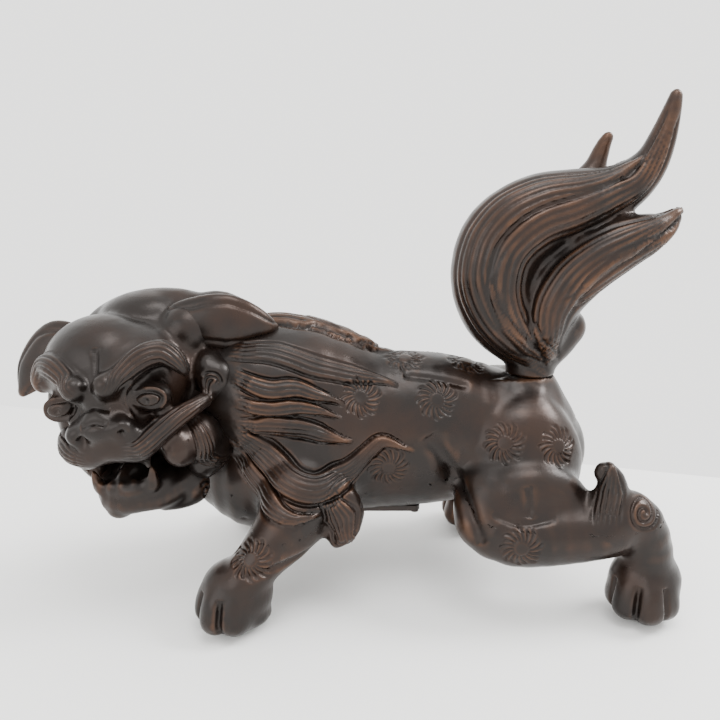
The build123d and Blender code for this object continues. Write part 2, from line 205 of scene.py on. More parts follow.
class Chaser:
    """Works a skin's surface with punches and chisels, point by point."""

    def __init__(self, skin: bpy.types.Object) -> None:
        """Take up a skin."""
        self.skin = skin
        self.read()

    def read(self) -> None:
        """Fetch the skin's points and their outward directions."""
        count = len(self.skin.data.vertices)
        self.points = np.empty(count * 3)
        self.normals = np.empty(count * 3)
        self.skin.data.vertices.foreach_get("co", self.points)
        self.skin.data.vertices.foreach_get("normal", self.normals)
        self.points = self.points.reshape(-1, 3)
        self.normals = self.normals.reshape(-1, 3)
        self.tree: BVHTree | None = None

    def settle(self) -> None:
        """Give the worked points back to the skin and fetch their new directions."""
        self.skin.data.vertices.foreach_set("co", self.points.ravel())
        self.skin.data.update()
        self.read()

    def surface(self) -> BVHTree:
        """Return a search tree of the skin as it was last settled."""
        if self.tree is None:
            faces = [tuple(face.vertices) for face in self.skin.data.polygons]
            self.tree = BVHTree.FromPolygons(self.points.tolist(), faces)
        return self.tree

    def refine(self, chosen: np.ndarray) -> None:
        """Divide the faces whose points are all chosen, for finer strokes there."""
        faces = self.skin.data.polygons
        corners = np.empty(len(self.skin.data.loops), int)
        self.skin.data.loops.foreach_get("vertex_index", corners)
        starts = np.empty(len(faces), int)
        faces.foreach_get("loop_start", starts)
        inside = np.minimum.reduceat(chosen[corners].astype(int), starts).astype(bool)
        bpy.ops.object.select_all(action="DESELECT")
        bpy.context.view_layer.objects.active = self.skin
        self.skin.select_set(True)
        bpy.ops.object.mode_set(mode="EDIT")
        bpy.ops.mesh.select_mode(type="FACE")
        bpy.ops.mesh.select_all(action="DESELECT")
        bpy.ops.object.mode_set(mode="OBJECT")
        faces.foreach_set("select", inside)
        bpy.ops.object.mode_set(mode="EDIT")
        bpy.ops.mesh.subdivide(number_cuts=1)
        bpy.ops.object.mode_set(mode="OBJECT")
        self.read()

    def lay(self, points: Sequence[Sequence[float]], view: View,
            spacing: float = 0.8) -> tuple[np.ndarray, np.ndarray]:
        """Lay a drawn line on the surface.

        Args:
            points: the line's points in the view, in millimetres from its origin.
            view: where the line is drawn from.
            spacing: the distance between the laid points.

        Returns:
            The points on the surface, and the outward directions there.
        """
        tree = self.surface()
        places, outs = [], []
        for a, b in smooth_path(points, spacing)[:, :2]:
            start = view.origin + view.across * a + view.up * b - view.into * view.reach
            place, out, _, _ = tree.ray_cast(start, view.into, 2 * view.reach)
            if place is None:
                place, out, _, _ = tree.find_nearest(view.origin + view.across * a + view.up * b)
            places.append(place)
            outs.append(out)
        return self.steady(np.array(places), 2), self.steady(np.array(outs), 6)

    def drape(self, points: Sequence[Sequence[float]], space: Matrix) -> tuple[np.ndarray, np.ndarray]:
        """Drop a line given in space onto the nearest part of the surface.

        Args:
            points: the line's points in the given axes, in millimetres.
            space: those axes in the working space.

        Returns:
            The points on the surface, and the outward directions there.
        """
        tree = self.surface()
        found = [tree.find_nearest(space @ Vector(point[:3])) for point in smooth_path(points, 0.8)]
        places = np.array([place for place, _, _, _ in found])
        return self.steady(places, 3), self.steady(np.array([out for _, out, _, _ in found]), 7)

    def mark_high_points(self) -> None:
        """Keep how far each point stands above its neighbours, where hands have rubbed the patina off."""
        shaped = self.points.copy()
        self.relax(np.ones(len(shaped), bool), 10)
        height = np.einsum("ij,ij->i", shaped - self.points, self.normals)
        self.points = shaped
        rubbed = self.skin.data.attributes.new("rubbed", "FLOAT", "POINT")
        rubbed.data.foreach_set("value", np.clip(height / 0.5, 0, 1))

    def steady(self, rows: np.ndarray, reach: int) -> np.ndarray:
        """Average each row with its neighbours, so that a stroke runs clear over small bumps."""
        if len(rows) < 3:
            return rows
        padded = np.pad(rows, ((reach, reach), (0, 0)), mode="edge")
        total = np.cumsum(np.vstack([np.zeros(3), padded]), axis=0)
        return (total[2 * reach + 1 :] - total[: -2 * reach - 1]) / (2 * reach + 1)

    def near(self, places: np.ndarray, outs: np.ndarray, reach: float) -> tuple[np.ndarray, ...]:
        """Find the skin's points near a laid line.

        Args:
            places: the line's points.
            outs: the outward directions there.
            reach: how far to look, in millimetres.

        Returns:
            The points' numbers, the nearest place along the line from 0 to 1, the distance from the line,
            the same distance signed by side, and how far a point lies past either end.
        """
        low, high = places.min(0) - reach, places.max(0) + reach
        found = np.nonzero(np.all((self.points > low) & (self.points < high), axis=1))[0]
        gaps = self.points[found][:, None, :] - places[None, :, :]
        squares = np.einsum("ijk,ijk->ij", gaps, gaps)
        nearest = squares.argmin(1)
        distance = np.sqrt(squares[np.arange(len(found)), nearest])
        facing = np.einsum("ij,ij->i", self.normals[found], outs[nearest])
        keep = (distance < reach) & (facing > 0.35)
        found, nearest, distance = found[keep], nearest[keep], distance[keep]
        along = np.gradient(places, axis=0) if len(places) > 1 else np.zeros_like(places)
        along = self.steady(along, 4)
        across = np.cross(outs, along)
        across /= np.linalg.norm(across, axis=1, keepdims=True) + 1e-9
        gap = self.points[found] - places[nearest]
        side = np.einsum("ij,ij->i", gap, across[nearest])
        past = np.einsum("ij,ij->i", gap, along[nearest] / (np.linalg.norm(along[nearest], axis=1)[:,
            None] + 1e-9))
        share = nearest / max(1, len(places) - 1)
        at_end = (nearest == 0) | (nearest == len(places) - 1)
        beyond = np.where(at_end, np.abs(past), 0.0)
        return found, share, distance, side, beyond

    def push(self, found: np.ndarray, amount: np.ndarray) -> None:
        """Move points outwards by an amount in millimetres, or inwards where it is negative."""
        self.points[found] += self.normals[found] * amount[:, None]

    def line(self, places: np.ndarray, outs: np.ndarray, width: float, depth: float,
            fade: float = 0.15) -> None:
        """Cut a line, or raise one where the depth is negative, tapered at both ends."""
        found, share, distance, _, _ = self.near(places, outs, 2.5 * width)
        taper = np.clip(np.minimum(share, 1 - share) / max(fade, 1e-3), 0, 1) ** 0.6 if fade else 1.0
        self.push(found, -depth * np.exp(-((distance / width) ** 2)) * taper)

    def lock(
        self,
        places: np.ndarray,
        outs: np.ndarray,
        widths: Sequence[float],
        height: float,
        strands: int,
        cut: float,
    ) -> None:
        """Raise a lock of hair along a line and comb it.

        Args:
            places: the lock's middle line on the surface.
            outs: the outward directions there.
            widths: half widths at even steps from root to tip.
            height: how far its middle stands up.
            strands: how many strands it is combed into.
            cut: depth of the combed lines.
        """
        widest = max(widths)
        found, share, distance, side, beyond = self.near(places, outs, widest * 1.35)
        half = np.interp(share, np.linspace(0, 1, len(widths)), widths)
        spread = np.clip(side / half, -1.4, 1.4)
        edge = np.clip(1 - np.abs(spread), 0, 1)
        body = np.sqrt(np.clip(1 - spread**2, 0, 1)) * height * np.clip(share / 0.12, 0.35, 1)
        comb = np.abs(np.sin(math.pi * strands * (spread + 1) / 2)) ** 0.7 - 1
        comb *= np.clip(1.6 * half / strands - 0.6, 0, 1)
        body += comb * cut * np.clip(edge * 6, 0, 1)
        rim = -0.5 * height * np.exp(-(((np.abs(spread) - 1.08) / 0.14) ** 2))
        self.push(found, (body + rim) * np.clip(1 - beyond / widest, 0, 1))

    def whorl(self, place: np.ndarray, out: np.ndarray, radius: float, petals: int, swirl: float) -> None:
        """Punch a whorl: a plain middle with curved petal cuts all round it.

        Args:
            place: its middle on the surface.
            out: the outward direction there.
            radius: its outer radius, in millimetres.
            petals: how many cuts it has.
            swirl: how far each cut turns on its way out, in radians.
        """
        gap = self.points - place
        found = np.nonzero(np.einsum("ij,ij->i", gap, gap) < (radius * 1.25) ** 2)[0]
        found = found[self.normals[found] @ out > 0.2]
        gap = gap[found]
        first = np.cross(out, (0.3, 0.5, 0.81))
        first /= np.linalg.norm(first)
        second = np.cross(out, first)
        a, b = gap @ first, gap @ second
        r = np.hypot(a, b) / radius
        turn = np.arctan2(b, a) - swirl * (r - 0.3) ** 1.3 * np.sign(r - 0.3)
        turn = np.where(r > 0.3, turn, np.arctan2(b, a))
        pitch = 2 * math.pi / petals
        off = np.abs((turn + pitch / 2) % pitch - pitch / 2) * r * radius
        long = np.where(np.round(turn / pitch) % 2 == 0, 1.0, 0.88)
        width = 0.45 + 0.75 * np.clip((r - 0.3) / 0.7, 0, 1)
        within = np.clip((r - 0.28) / 0.1, 0, 1) * np.clip((long - r) / 0.1, 0, 1)
        depth = 0.95 * within * np.exp(-((off / width) ** 2))
        dome = 0.5 * np.exp(-((r / 0.75) ** 4))
        self.push(found, dome - depth)

    def relax(self, chosen: np.ndarray, passes: int) -> None:
        """Smooth the chosen points."""
        edges = np.empty(len(self.skin.data.edges) * 2, int)
        self.skin.data.edges.foreach_get("vertices", edges)
        edges = edges.reshape(-1, 2)
        count = np.bincount(edges.ravel(), minlength=len(self.points)).astype(float)[:, None]
        for _ in range(passes):
            total = np.zeros_like(self.points)
            for column in range(3):
                total[:, column] = np.bincount(
                    edges[:, 0], weights=self.points[edges[:, 1], column], minlength=len(self.points)
                ) + np.bincount(edges[:, 1], weights=self.points[edges[:, 0], column],
                    minlength=len(self.points))
            mean = total / count
            self.points[chosen] = 0.5 * self.points[chosen] + 0.5 * mean[chosen]


# ---------------------------------------------------------------------------------------- castings


class Side(Enum):
    """A side of the lion, as the sign of its Y."""

    LEFT = -1
    RIGHT = 1

    @property
    def view(self) -> View:
        """Return the view square to this flank."""
        return LEFT_FLANK if self is Side.LEFT else RIGHT_FLANK


def close_up(piece: bpy.types.Object) -> None:
    """Fill the open edges where a casting was parted from its neighbour."""
    bpy.ops.object.select_all(action="DESELECT")
    bpy.context.view_layer.objects.active = piece
    piece.select_set(True)
    bpy.ops.object.mode_set(mode="EDIT")
    bpy.ops.mesh.select_mode(type="EDGE")
    bpy.ops.mesh.select_all(action="DESELECT")
    bpy.ops.mesh.select_non_manifold()
    bpy.ops.mesh.mark_sharp()
    bpy.ops.mesh.fill_holes(sides=0)
    bpy.ops.mesh.select_all(action="SELECT")
    bpy.ops.mesh.quads_convert_to_tris(quad_method="BEAUTY", ngon_method="BEAUTY")
    bpy.ops.mesh.normals_make_consistent(inside=False)
    bpy.ops.object.mode_set(mode="OBJECT")


def lighten(piece: bpy.types.Object, most: int = 190_000) -> None:
    """Thin a casting's mesh where it is flattest, down to a number of triangles."""
    triangles = sum(len(face.vertices) - 2 for face in piece.data.polygons)
    if triangles <= most:
        return
    bpy.ops.object.select_all(action="DESELECT")
    bpy.context.view_layer.objects.active = piece
    piece.select_set(True)
    thin = piece.modifiers.new("lighten", "DECIMATE")
    thin.ratio = most / triangles
    bpy.ops.object.modifier_apply(modifier=thin.name)


def finish_casting(piece: bpy.types.Object, name: str, body: str, node: str,
        finish: bpy.types.Material) -> None:
    """Carry a casting into the model's frame and give it its place there.

    Args:
        piece: the casting, in the working space.
        name: the casting's name.
        body: the body that it rides on.
        node: the model's node that it stands for.
        finish: its material.
    """
    lighten(piece)
    piece.name = name
    piece.data.name = name
    piece.data.transform(Matrix.Translation(working_shift()) @ Matrix.Scale(MM, 4))
    piece.data.materials.clear()
    piece.data.materials.append(finish)
    for face in piece.data.polygons:
        face.use_smooth = True
    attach(piece, body)
    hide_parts(*([node, "core_plugs"] if node == "torso_casting" else [node]))
    LOG.info("%s: %d faces", name, len(piece.data.polygons))


@dataclass
class Torso:
    """The torso casting with the mane on its shoulders, parted from the four leg castings."""

    trunk: tuple[tuple[float, float, float, float], ...] = (
        (-80, 62, 20, 22),
        (-66, 64, 32, 34),
        (-44, 74, 38, 44),
        (-8, 85, 38, 46),
        (30, 87, 36, 45),
        (58, 87, 34, 41),
        (84, 83, 35, 36),
        (104, 79, 31, 31),
        (112, 76, 22, 23),
    )
    left_paws: tuple[tuple[float, float, float], ...] = ((-63, -58, 205), (150, -47, 240))
    right_paws: tuple[tuple[float, float, float], ...] = ((-60, 55, 175), (76, 52, 182))
    whorls: tuple[tuple[float, float], ...] = (
        (0, 115), (40, 113), (74, 93), (102, 91), (80, 47), (-54, 43), (15, 78),
    )
    spine_whorls: tuple[tuple[float, float], ...] = ((24, -8), (58, -4), (40, 14))
    whorl_radius: float = 11.5
    petals: int = 17
    cell: float = 1.25

    def press(self) -> bpy.types.Object:
        """Return the skin of the torso and all four legs."""
        clay = Clay("body")
        for x, z, half_width, half_height in smooth_path(self.trunk, 7):
            clay.ball((x, 0, z), (15, half_width, half_height))
        clay.limb(((-10, 0, 104, 34), (-34, -4, 110, 38), (-54, -8, 112, 37), (-72, -8, 112, 30), (-90,
            -12, 114, 24)))
        for side in Side:
            s = side.value
            clay.ball((-34, s * 26, 74), (30, 18, 34))
            clay.ball((-14, s * 32, 88), (22, 11, 30))
            clay.ball((86, s * 22, 76), (34, 21, 36))
        self.left_legs(clay)
        self.right_legs(clay)
        return clay.knead(2.4, 5, self.cell, 1)

    def left_legs(self, clay: Clay) -> None:
        """Add the two legs on the lion's left, the near ones."""
        clay.limb(((-30, -34, 66, 22), (-36, -44, 52, 18), (-50, -56, 38, 13), (-60, -61, 26, 13)))
        clay.ball((-9, -46, 60), (11, 8, 15), (0, -8, 0))
        clay.limb(((-2, -47, 58, 5), (-6, -50, 50, 6), (-12, -51, 45, 5)))
        clay.limb(((70, -34, 62, 20), (66, -42, 52, 17), (80, -46, 47, 18), (104, -48, 48, 17), (128,
            -50, 50, 14)))
        clay.ball((88, -42, 62), (31, 14, 22))
        clay.limb(((122, -50, 50, 15), (138, -49, 58, 13), (147, -48, 46, 13), (150, -47, 30, 14)))
        clay.limb(((124, -50, 60, 9), (127, -50, 70, 8.5), (127, -50, 78, 6.5), (122, -50, 84, 4.5),
            (119, -50, 81, 3)))
        for x, y, towards in self.left_paws:
            self.paw(clay, x, y, towards)

    def right_legs(self, clay: Clay) -> None:
        """Add the two legs on the lion's right."""
        clay.limb(((-26, 32, 66, 22), (-28, 42, 52, 18), (-42, 50, 38, 13), (-54, 53, 26, 13)))
        clay.ball((-4, 42, 60), (11, 8, 15), (0, -8, 0))
        clay.limb(((76, 32, 62, 21), (68, 42, 54, 18), (80, 46, 44, 15), (94, 49, 44, 13), (84, 51, 28, 13)))
        clay.limb(((98, 48, 50, 8), (102, 48, 60, 7), (101, 48, 69, 3)))
        for x, y, towards in self.right_paws:
            self.paw(clay, x, y, towards)

    def paw(self, clay: Clay, x: float, y: float, towards: float) -> None:
        """Add a round paw at a place on the floor, with four knuckled toes fanned about a heading."""
        clay.ball((x, y, 20), (19, 16, 18))
        clay.ball((x, y, 8), (18, 14, 8))
        for fan, reach in ((-68, 11.5), (-23, 14.0), (23, 14.0), (68, 11.5)):
            angle = math.radians(towards + fan)
            c, s = math.cos(angle), math.sin(angle)
            clay.limb(((x + 2 * c, y + 2 * s, 28, 6), (x + reach * 0.85 * c, y + reach * 0.85 * s, 21, 7.4),
                       (x + reach * c, y + reach * s, 11, 8.8)))

    def chase(self, skin: bpy.types.Object) -> None:
        """Comb the mane, punch the whorls and cut the folds."""
        chaser = Chaser(skin)
        flat = chaser.points[:, 2] < 0.6
        chaser.points[flat, 2] = 0.0
        chaser.settle()
        self.refine_worked(chaser)
        self.comb_mane(chaser)
        self.fold_flanks(chaser)
        self.punch_whorls(chaser)
        self.cut_toes(chaser)
        self.flatten_fittings(chaser)
        chaser.settle()
        chaser.mark_high_points()

    def refine_worked(self, chaser: Chaser) -> None:
        """Make the skin finer where it is combed or punched."""
        x, y, z = chaser.points.T
        worked = (x > -60) & (x < 24) & (z > 60) & (y < -15)
        for place in self.whorls:
            worked |= (np.hypot(x - place[0], z - place[1]) < 15) & (y < 0)
        worked |= (np.hypot(x + 9, z - 56) < 20) & (y < -30)
        worked |= (np.hypot(x - 132, z - 70) < 22) & (y < -30)
        worked |= (z < 34) & (z > 3) & (y < -30)
        chaser.refine(worked)

    def comb_mane(self, chaser: Chaser) -> None:
        """Raise and comb the locks of the mane on the near shoulder."""
        for path, widths, height, strands in (
            (((-64, 150), (-44, 152), (-26, 148), (-8, 142), (10, 132)), (6, 9, 9, 7, 2), 2.5, 5),
            (((-62, 140), (-42, 139), (-22, 132), (0, 125), (15, 121)), (5, 6, 6, 5, 1.5), 1.8, 4),
            (((-60, 128), (-46, 123), (-33, 123), (-22, 119), (-12, 115)), (4, 5, 5, 3.5, 1.5), 2.6, 4),
            (((-60, 116), (-46, 113), (-34, 113.5), (-24, 112), (-12, 108)), (3.5, 4, 4, 3, 1), 2.2, 3),
            (((-58, 104), (-44, 104), (-31, 102), (-19, 99), (-8, 96)), (4, 5, 5.5, 4.5, 1.5), 2.8, 4),
            (((-60, 96), (-50, 88), (-38, 79), (-22, 74), (-8, 78), (4, 88), (12, 93), (22, 90)), (6, 8,
                8, 8, 7, 5, 4, 1.5), 3.2, 6),
            (((-62, 82), (-54, 73), (-44, 65), (-34, 61), (-24, 61)), (5, 6, 6, 4, 1.5), 2.2, 4),
        ):
            places, outs = chaser.lay(path, LEFT_FLANK)
            chaser.lock(places, outs, widths, height, strands, 0.7)
            chaser.settle()
            places, outs = chaser.lay(path, RIGHT_FLANK)
            chaser.lock(places, outs, widths, height, strands, 0.7)
            chaser.settle()

    def fold_flanks(self, chaser: Chaser) -> None:
        """Cut the flank, thigh and spine folds, and comb the tufts on the elbow and hock."""
        for side in Side:
            for path, width, depth in (
                (((35, 96), (43, 84), (52, 68), (58, 54), (62, 46)), 4.0, 3.0),
                (((84, 76), (85, 68), (84, 60)), 1.6, 1.0),
                (((66, 62), (80, 58), (98, 61)), 1.8, 1.2),
                (((22, 124), (40, 122), (58, 118)), 2.2, 1.2),
                (((-64, 46), (-56, 36), (-40, 38), (-16, 42)), 2.2, 1.6),
            ):
                places, outs = chaser.lay(path, side.view)
                chaser.line(places, outs, width, depth)
            chaser.settle()
        places, outs = chaser.lay(((-14, 66), (-10, 59), (-8, 50)), LEFT_FLANK)
        chaser.lock(places, outs, (5, 8, 5), 2.0, 6, 0.8)
        for x, z, radius, turn in ((141, 64, 8.5, -1), (-9, 48, 6.5, 1)):
            curl = [(x + r * math.cos(a), z + r * math.sin(a))
                    for a, r in zip(np.linspace(0, turn * 2.1 * math.tau, 36), np.linspace(radius, 1.2, 36))]
            places, outs = chaser.lay(curl, LEFT_FLANK)
            chaser.line(places, outs, 0.9, 1.3, 0.05)
        places, outs = chaser.lay(((122, 62), (124, 74), (125, 86)), LEFT_FLANK)
        chaser.lock(places, outs, (6, 6, 2), 1.2, 5, 0.8)
        chaser.settle()

    def punch_whorls(self, chaser: Chaser) -> None:
        """Punch the whorls on both flanks and along the spine."""
        for side in Side:
            for place in self.whorls:
                places, outs = chaser.lay((place, (place[0] + 0.1, place[1])), side.view)
                chaser.whorl(places[0], outs[0], self.whorl_radius, self.petals, 0.7)
        for place in self.spine_whorls:
            places, outs = chaser.lay((place, (place[0] + 0.1, place[1])), BACK_VIEW)
            chaser.whorl(places[0], outs[0], self.whorl_radius, self.petals, 0.7)
        chaser.settle()

    def cut_toes(self, chaser: Chaser) -> None:
        """Cut the creases between the toes of every paw."""
        for x, y, towards in self.left_paws + self.right_paws:
            for fan in (-45, 0, 45):
                angle = math.radians(towards + fan)
                c, s = math.cos(angle), math.sin(angle)
                view = View(Vector((x, y, 0)), Vector((-s, c, 0)), Vector((0, 0, 1)), Vector((-c, -s,
                    0)), 40)
                places, outs = chaser.lay(((0, 25), (0, 18), (0, 11), (0, 3)), view)
                chaser.line(places, outs, 1.5, 2.6, 0.3)
        chaser.settle()

    def flatten_fittings(self, chaser: Chaser) -> None:
        """Sink the skin over the tail's socket and swell the rump up to the socket's rim."""
        x, y, z = chaser.points.T
        ring = np.hypot(x - 94, y)
        socket_edge, swell_edge, rim_height = 11.6, 34.0, 119.9
        seat = (ring < socket_edge) & (z > 100)
        chaser.points[seat, 2] = np.minimum(z[seat], rim_height - 2.9)
        rim = (ring >= socket_edge) & (ring < swell_edge) & (z > 95)
        rise = np.clip(1 - (ring[rim] - 13.0) / 20.0, 0, 1) ** 2
        chaser.points[rim, 2] = np.minimum(z[rim] + rise * 10, np.maximum(z[rim], rim_height))

    def part(self, skin: bpy.types.Object) -> dict[str, bpy.types.Object]:
        """Part the legs from the torso and return the five castings by node name."""
        castings: dict[str, bpy.types.Object] = {}
        for side in Side:
            for fore in (True, False):
                name = f"{side.name.lower()}_{'fore' if fore else 'hind'}leg"
                castings[name] = self.take_off(skin, self.leg_points(skin, side, fore))
        castings["torso_casting"] = skin
        for casting in castings.values():
            close_up(casting)
        return castings

    def leg_points(self, skin: bpy.types.Object, side: Side, fore: bool) -> np.ndarray:
        """Choose the points of one leg, below the shoulder or hip."""
        x, y, z = Chaser(skin).points.T
        y = y * side.value
        if fore:
            below = (x < 14) & (z < 58 - 0.35 * (y - 40))
            return below & ((y > 30) | ((z < 34) & (y > 22) & (x > -74)))
        return (x > 36) & (z < 66 - 0.5 * (y - 40)) & ((y > 30) | ((x > 128) & (y > 0)))

    def take_off(self, skin: bpy.types.Object, chosen: np.ndarray) -> bpy.types.Object:
        """Separate the faces whose points are all chosen, and return them as a new piece."""
        bpy.ops.object.select_all(action="DESELECT")
        bpy.context.view_layer.objects.active = skin
        skin.select_set(True)
        bpy.ops.object.mode_set(mode="EDIT")
        bpy.ops.mesh.select_mode(type="VERT")
        bpy.ops.mesh.select_all(action="DESELECT")
        bpy.ops.object.mode_set(mode="OBJECT")
        skin.data.vertices.foreach_set("select", chosen)
        bpy.ops.object.mode_set(mode="EDIT")
        bpy.ops.mesh.select_mode(type="FACE")
        bpy.ops.mesh.separate(type="SELECTED")
        bpy.ops.object.mode_set(mode="OBJECT")
        return next(piece for piece in bpy.context.selected_objects if piece is not skin)


@dataclass
class Head:
    """The head casting: skull, brows, muzzle, teeth, cheek locks and the mane behind them."""

    cell: float = 0.95

    def press(self) -> bpy.types.Object:
        """Return the skin of the head."""
        clay = Clay("head", head_frame())
        clay.ball((-14, 2, 4), (30, 42, 40))
        clay.ball((4, 0, 10), (36, 33, 30))
        clay.ball((-22, 8, 22), (18, 46, 28))
        clay.ball((-26, 40, 22), (12, 24, 22))
        clay.ball((-18, 4, 37), (18, 24, 13))
        clay.ball((8, -10, 20), (27, 30, 25))
        clay.ball((6, -22, 20), (20, 18, 17))
        clay.ball((-10, 30, 28), (14, 14, 14))
        clay.ball((-20, 34, -12), (22, 20, 34))
        clay.ball((-16, -30, -6), (22, 14, 32))
        self.muzzle(clay)
        self.brows(clay)
        self.cheeks(clay)
        return clay.knead(1.9, 4, self.cell, 1)

    def muzzle(self, clay: Clay) -> None:
        """Add the nose, the upper lip, the moustache and the teeth."""
        clay.ball((28, -2, -4), (20, 19, 14))
        clay.ball((34, -2, 4), (14, 10, 9), (0, 25, 0))
        clay.ball((43, -2, -2), (7, 11, 7))
        clay.ball((42, 9, -3), (7, 6.5, 6))
        clay.ball((42, -13, -4), (7, 6.5, 6))
        clay.ball((42, 18, -13), (6, 5.5, 5.5))
        clay.limb(((41, -2, -12, 7), (40, 8, -14, 7), (40, 15, -14, 7), (36, 24, -8, 6), (28, 34, -4, 5),
            (16, 42, -2, 4)))
        clay.limb(((41, -4, -13, 7), (40, -12, -16, 7), (36, -22, -14, 6), (26, -28, -10, 5)))
        for across, drop in ((-14, -20), (-8, -19), (-2, -18), (4, -18), (10, -18)):
            clay.ball((39.5, across, drop), (3.2, 3.0, 4.2))
        clay.limb(((37, 13, -16, 3.6), (37, 14, -22, 2.8), (36, 14.5, -27, 1.6)))
        clay.limb(((35, -18, -17, 3.6), (34, -19, -23, 2.8), (33, -19, -28, 1.6)))

    def brows(self, clay: Clay) -> None:
        """Add the eyes and the curled brows over them."""
        for s, rise in ((1, 0), (-1, -1)):
            clay.ball((32, s * 23, 8 + rise), (8, 9.5, 7))
            clay.limb(((38, s * 10 - 1, 18 + rise, 5), (35, s * 16, 23 + rise, 6), (30, s * 23,
                27 + rise, 6.5),
                       (25, s * 30, 27 + rise, 6), (24, s * 35, 21 + rise, 5), (22, s * 37, 16 + rise, 3.5)))
        for across in (5.5, -10.5):
            clay.ball((40.5, across, 18), (6.5, 6.5, 6.5))
        clay.limb(((33, -2, 12, 8), (36, -2, 4, 8), (40, -2, -2, 8)))

    def cheeks(self, clay: Clay) -> None:
        """Add the curl on the cheek, the ball under it and the locks down the jaw."""
        clay.ball((0, 42, 4), (13, 8, 15))
        clay.ball((3, 46, 5), (9, 8.5, 10))
        clay.ball((14, 34, -22), (13, 11, 13))
        clay.ball((23, 27, -22), (13, 9, 11))
        clay.ball((8, 31, -36), (12, 9, 11))
        clay.ball((6, 37, -28), (14, 9, 16))
        clay.ball((0, 20, -34), (12, 20, 14))
        clay.limb(((-12, 44, 12, 9), (-10, 45, -6, 10), (-4, 42, -24, 10), (4, 34, -38, 8), (10, 28, -44,
            5)))
        clay.ball((4, -36, 2), (14, 9, 14))
        clay.limb(((4, -36, -8, 9), (12, -31, -22, 8), (16, -24, -34, 6)))

    def chase(self, skin: bpy.types.Object) -> None:
        """Cut the face's lines and comb its hair."""
        chaser = Chaser(skin)
        front = head_view(8, 0)
        local = (np.array(head_frame().inverted()) @ np.c_[chaser.points, np.ones(len(chaser.points))].T).T
        chaser.refine((local[:, 0] > -6) & (local[:, 1] > -34) & (local[:, 2] < 36))
        self.cut_eyes(chaser)
        self.cut_muzzle(chaser, front)
        self.comb_cheek(chaser)
        chaser.mark_high_points()

    def cut_eyes(self, chaser: Chaser) -> None:
        """Ring the eyes with lids and comb the brows."""
        for s in (1, -1):
            turns = np.linspace(0, math.tau, 13)
            for wide, high, width, depth in ((8.5, 5.5, 1.2, 1.6), (11, 8, 1.4, -1.1)):
                ring = [(39, s * 23 + wide * math.cos(a), 8 + high * math.sin(a)) for a in turns]
                chaser.line(*chaser.drape(ring, head_frame()), width, depth, 0)
            chaser.line(*chaser.drape(((41, s * 22, 8), (41, s * 22.2, 8)), head_frame()), 1.6, 1.2, 0)
            chaser.settle()
            brow = ((42, s * 10 - 1, 18), (39, s * 16, 24), (34, s * 23, 28), (29, s * 30, 28), (27,
                s * 36, 22), (25, s * 38, 16))
            chaser.lock(*chaser.drape(brow, head_frame()), (3, 5, 6, 6, 4.5, 2), 0.8, 5, 0.8)
            chaser.settle()

    def cut_muzzle(self, chaser: Chaser, front: View) -> None:
        """Cut the nostrils, the lips' edge, the moustache and the gaps between the teeth."""
        for across, up in ((4, -4), (-16, -6)):
            places, outs = chaser.lay(((across, up), (across + 0.1, up)), front)
            chaser.line(places, outs, 2.6, 4.0, 0)
        for path in (((-6, 20), (-5, 26), (-5, 34)), ((-16, 6), (-8, 9), (0, 6)), ((-15, 1), (-8, 3),
            (-1, 1))):
            places, outs = chaser.lay(path, front)
            chaser.line(places, outs, 1.6, 1.3)
        chaser.settle()
        near = ((46, 12, -13), (44, 17, -13), (41, 25, -8), (33, 34, -3), (20, 44, 0))
        chaser.lock(*chaser.drape(near, head_frame()), (4, 5, 5, 4.5, 2.5), 0.8, 5, 0.8)
        chaser.settle()
        far = ((44, -14, -16), (40, -22, -14), (30, -30, -10))
        chaser.lock(*chaser.drape(far, head_frame()), (4, 5, 2.5), 0.8, 5, 0.8)
        chaser.settle()

    def comb_cheek(self, chaser: Chaser) -> None:
        """Wind the cheek's curl, cut the edge behind it and comb the locks around the jaw."""
        space = head_frame()
        curl = [(16, 46 + r * math.cos(a), 5 + r * math.sin(a))
                for a, r in zip(np.linspace(2.6, 2.6 - 2.3 * math.tau, 40), np.linspace(8.0, 1.2, 40))]
        chaser.line(*chaser.drape(curl, space), 0.9, 1.5, 0.05)
        chaser.line(*chaser.drape(((-21, 54, 16), (-17, 52, 2), (-10, 46, -18), (0, 42, -34), (4, 38,
            -44)), space), 1.5, 2.2)
        chaser.settle()
        for start, bend, end in (((9, 50, -5), (4, 50, -9), (-3, 50, -6)), ((9, 49, -9), (3, 49, -13),
            (-4, 49, -9))):
            chaser.line(*chaser.drape((start, bend, end), space), 0.8, 1.0)
        for path, widths, height, strands in (
            (((-26, 56, 34), (-27, 56, 22), (-27, 56, 8)), (4, 6, 3), 1.2, 4),
            (((14, 40, -36), (18, 36, -30), (17, 34, -18)), (3, 5, 3), 1.0, 4),
            (((-34, 30, 44), (-38, 44, 30), (-40, 50, 10), (-38, 50, -12), (-34, 44, -30)), (5, 7, 7, 7,
                3), 1.4, 5),
            (((-36, -30, 40), (-40, -42, 24), (-40, -46, 4), (-36, -42, -20)), (5, 7, 7, 3), 1.4, 5),
            (((-42, -14, 40), (-46, -20, 20), (-48, -22, 0), (-46, -20, -22)), (5, 7, 7, 3), 1.4, 5),
            (((-44, 10, 44), (-50, 14, 24), (-50, 16, 0), (-46, 16, -24)), (5, 8, 8, 3), 1.4, 5),
        ):
            chaser.lock(*chaser.drape(path, space), widths, height, strands, 0.7)
            chaser.settle()


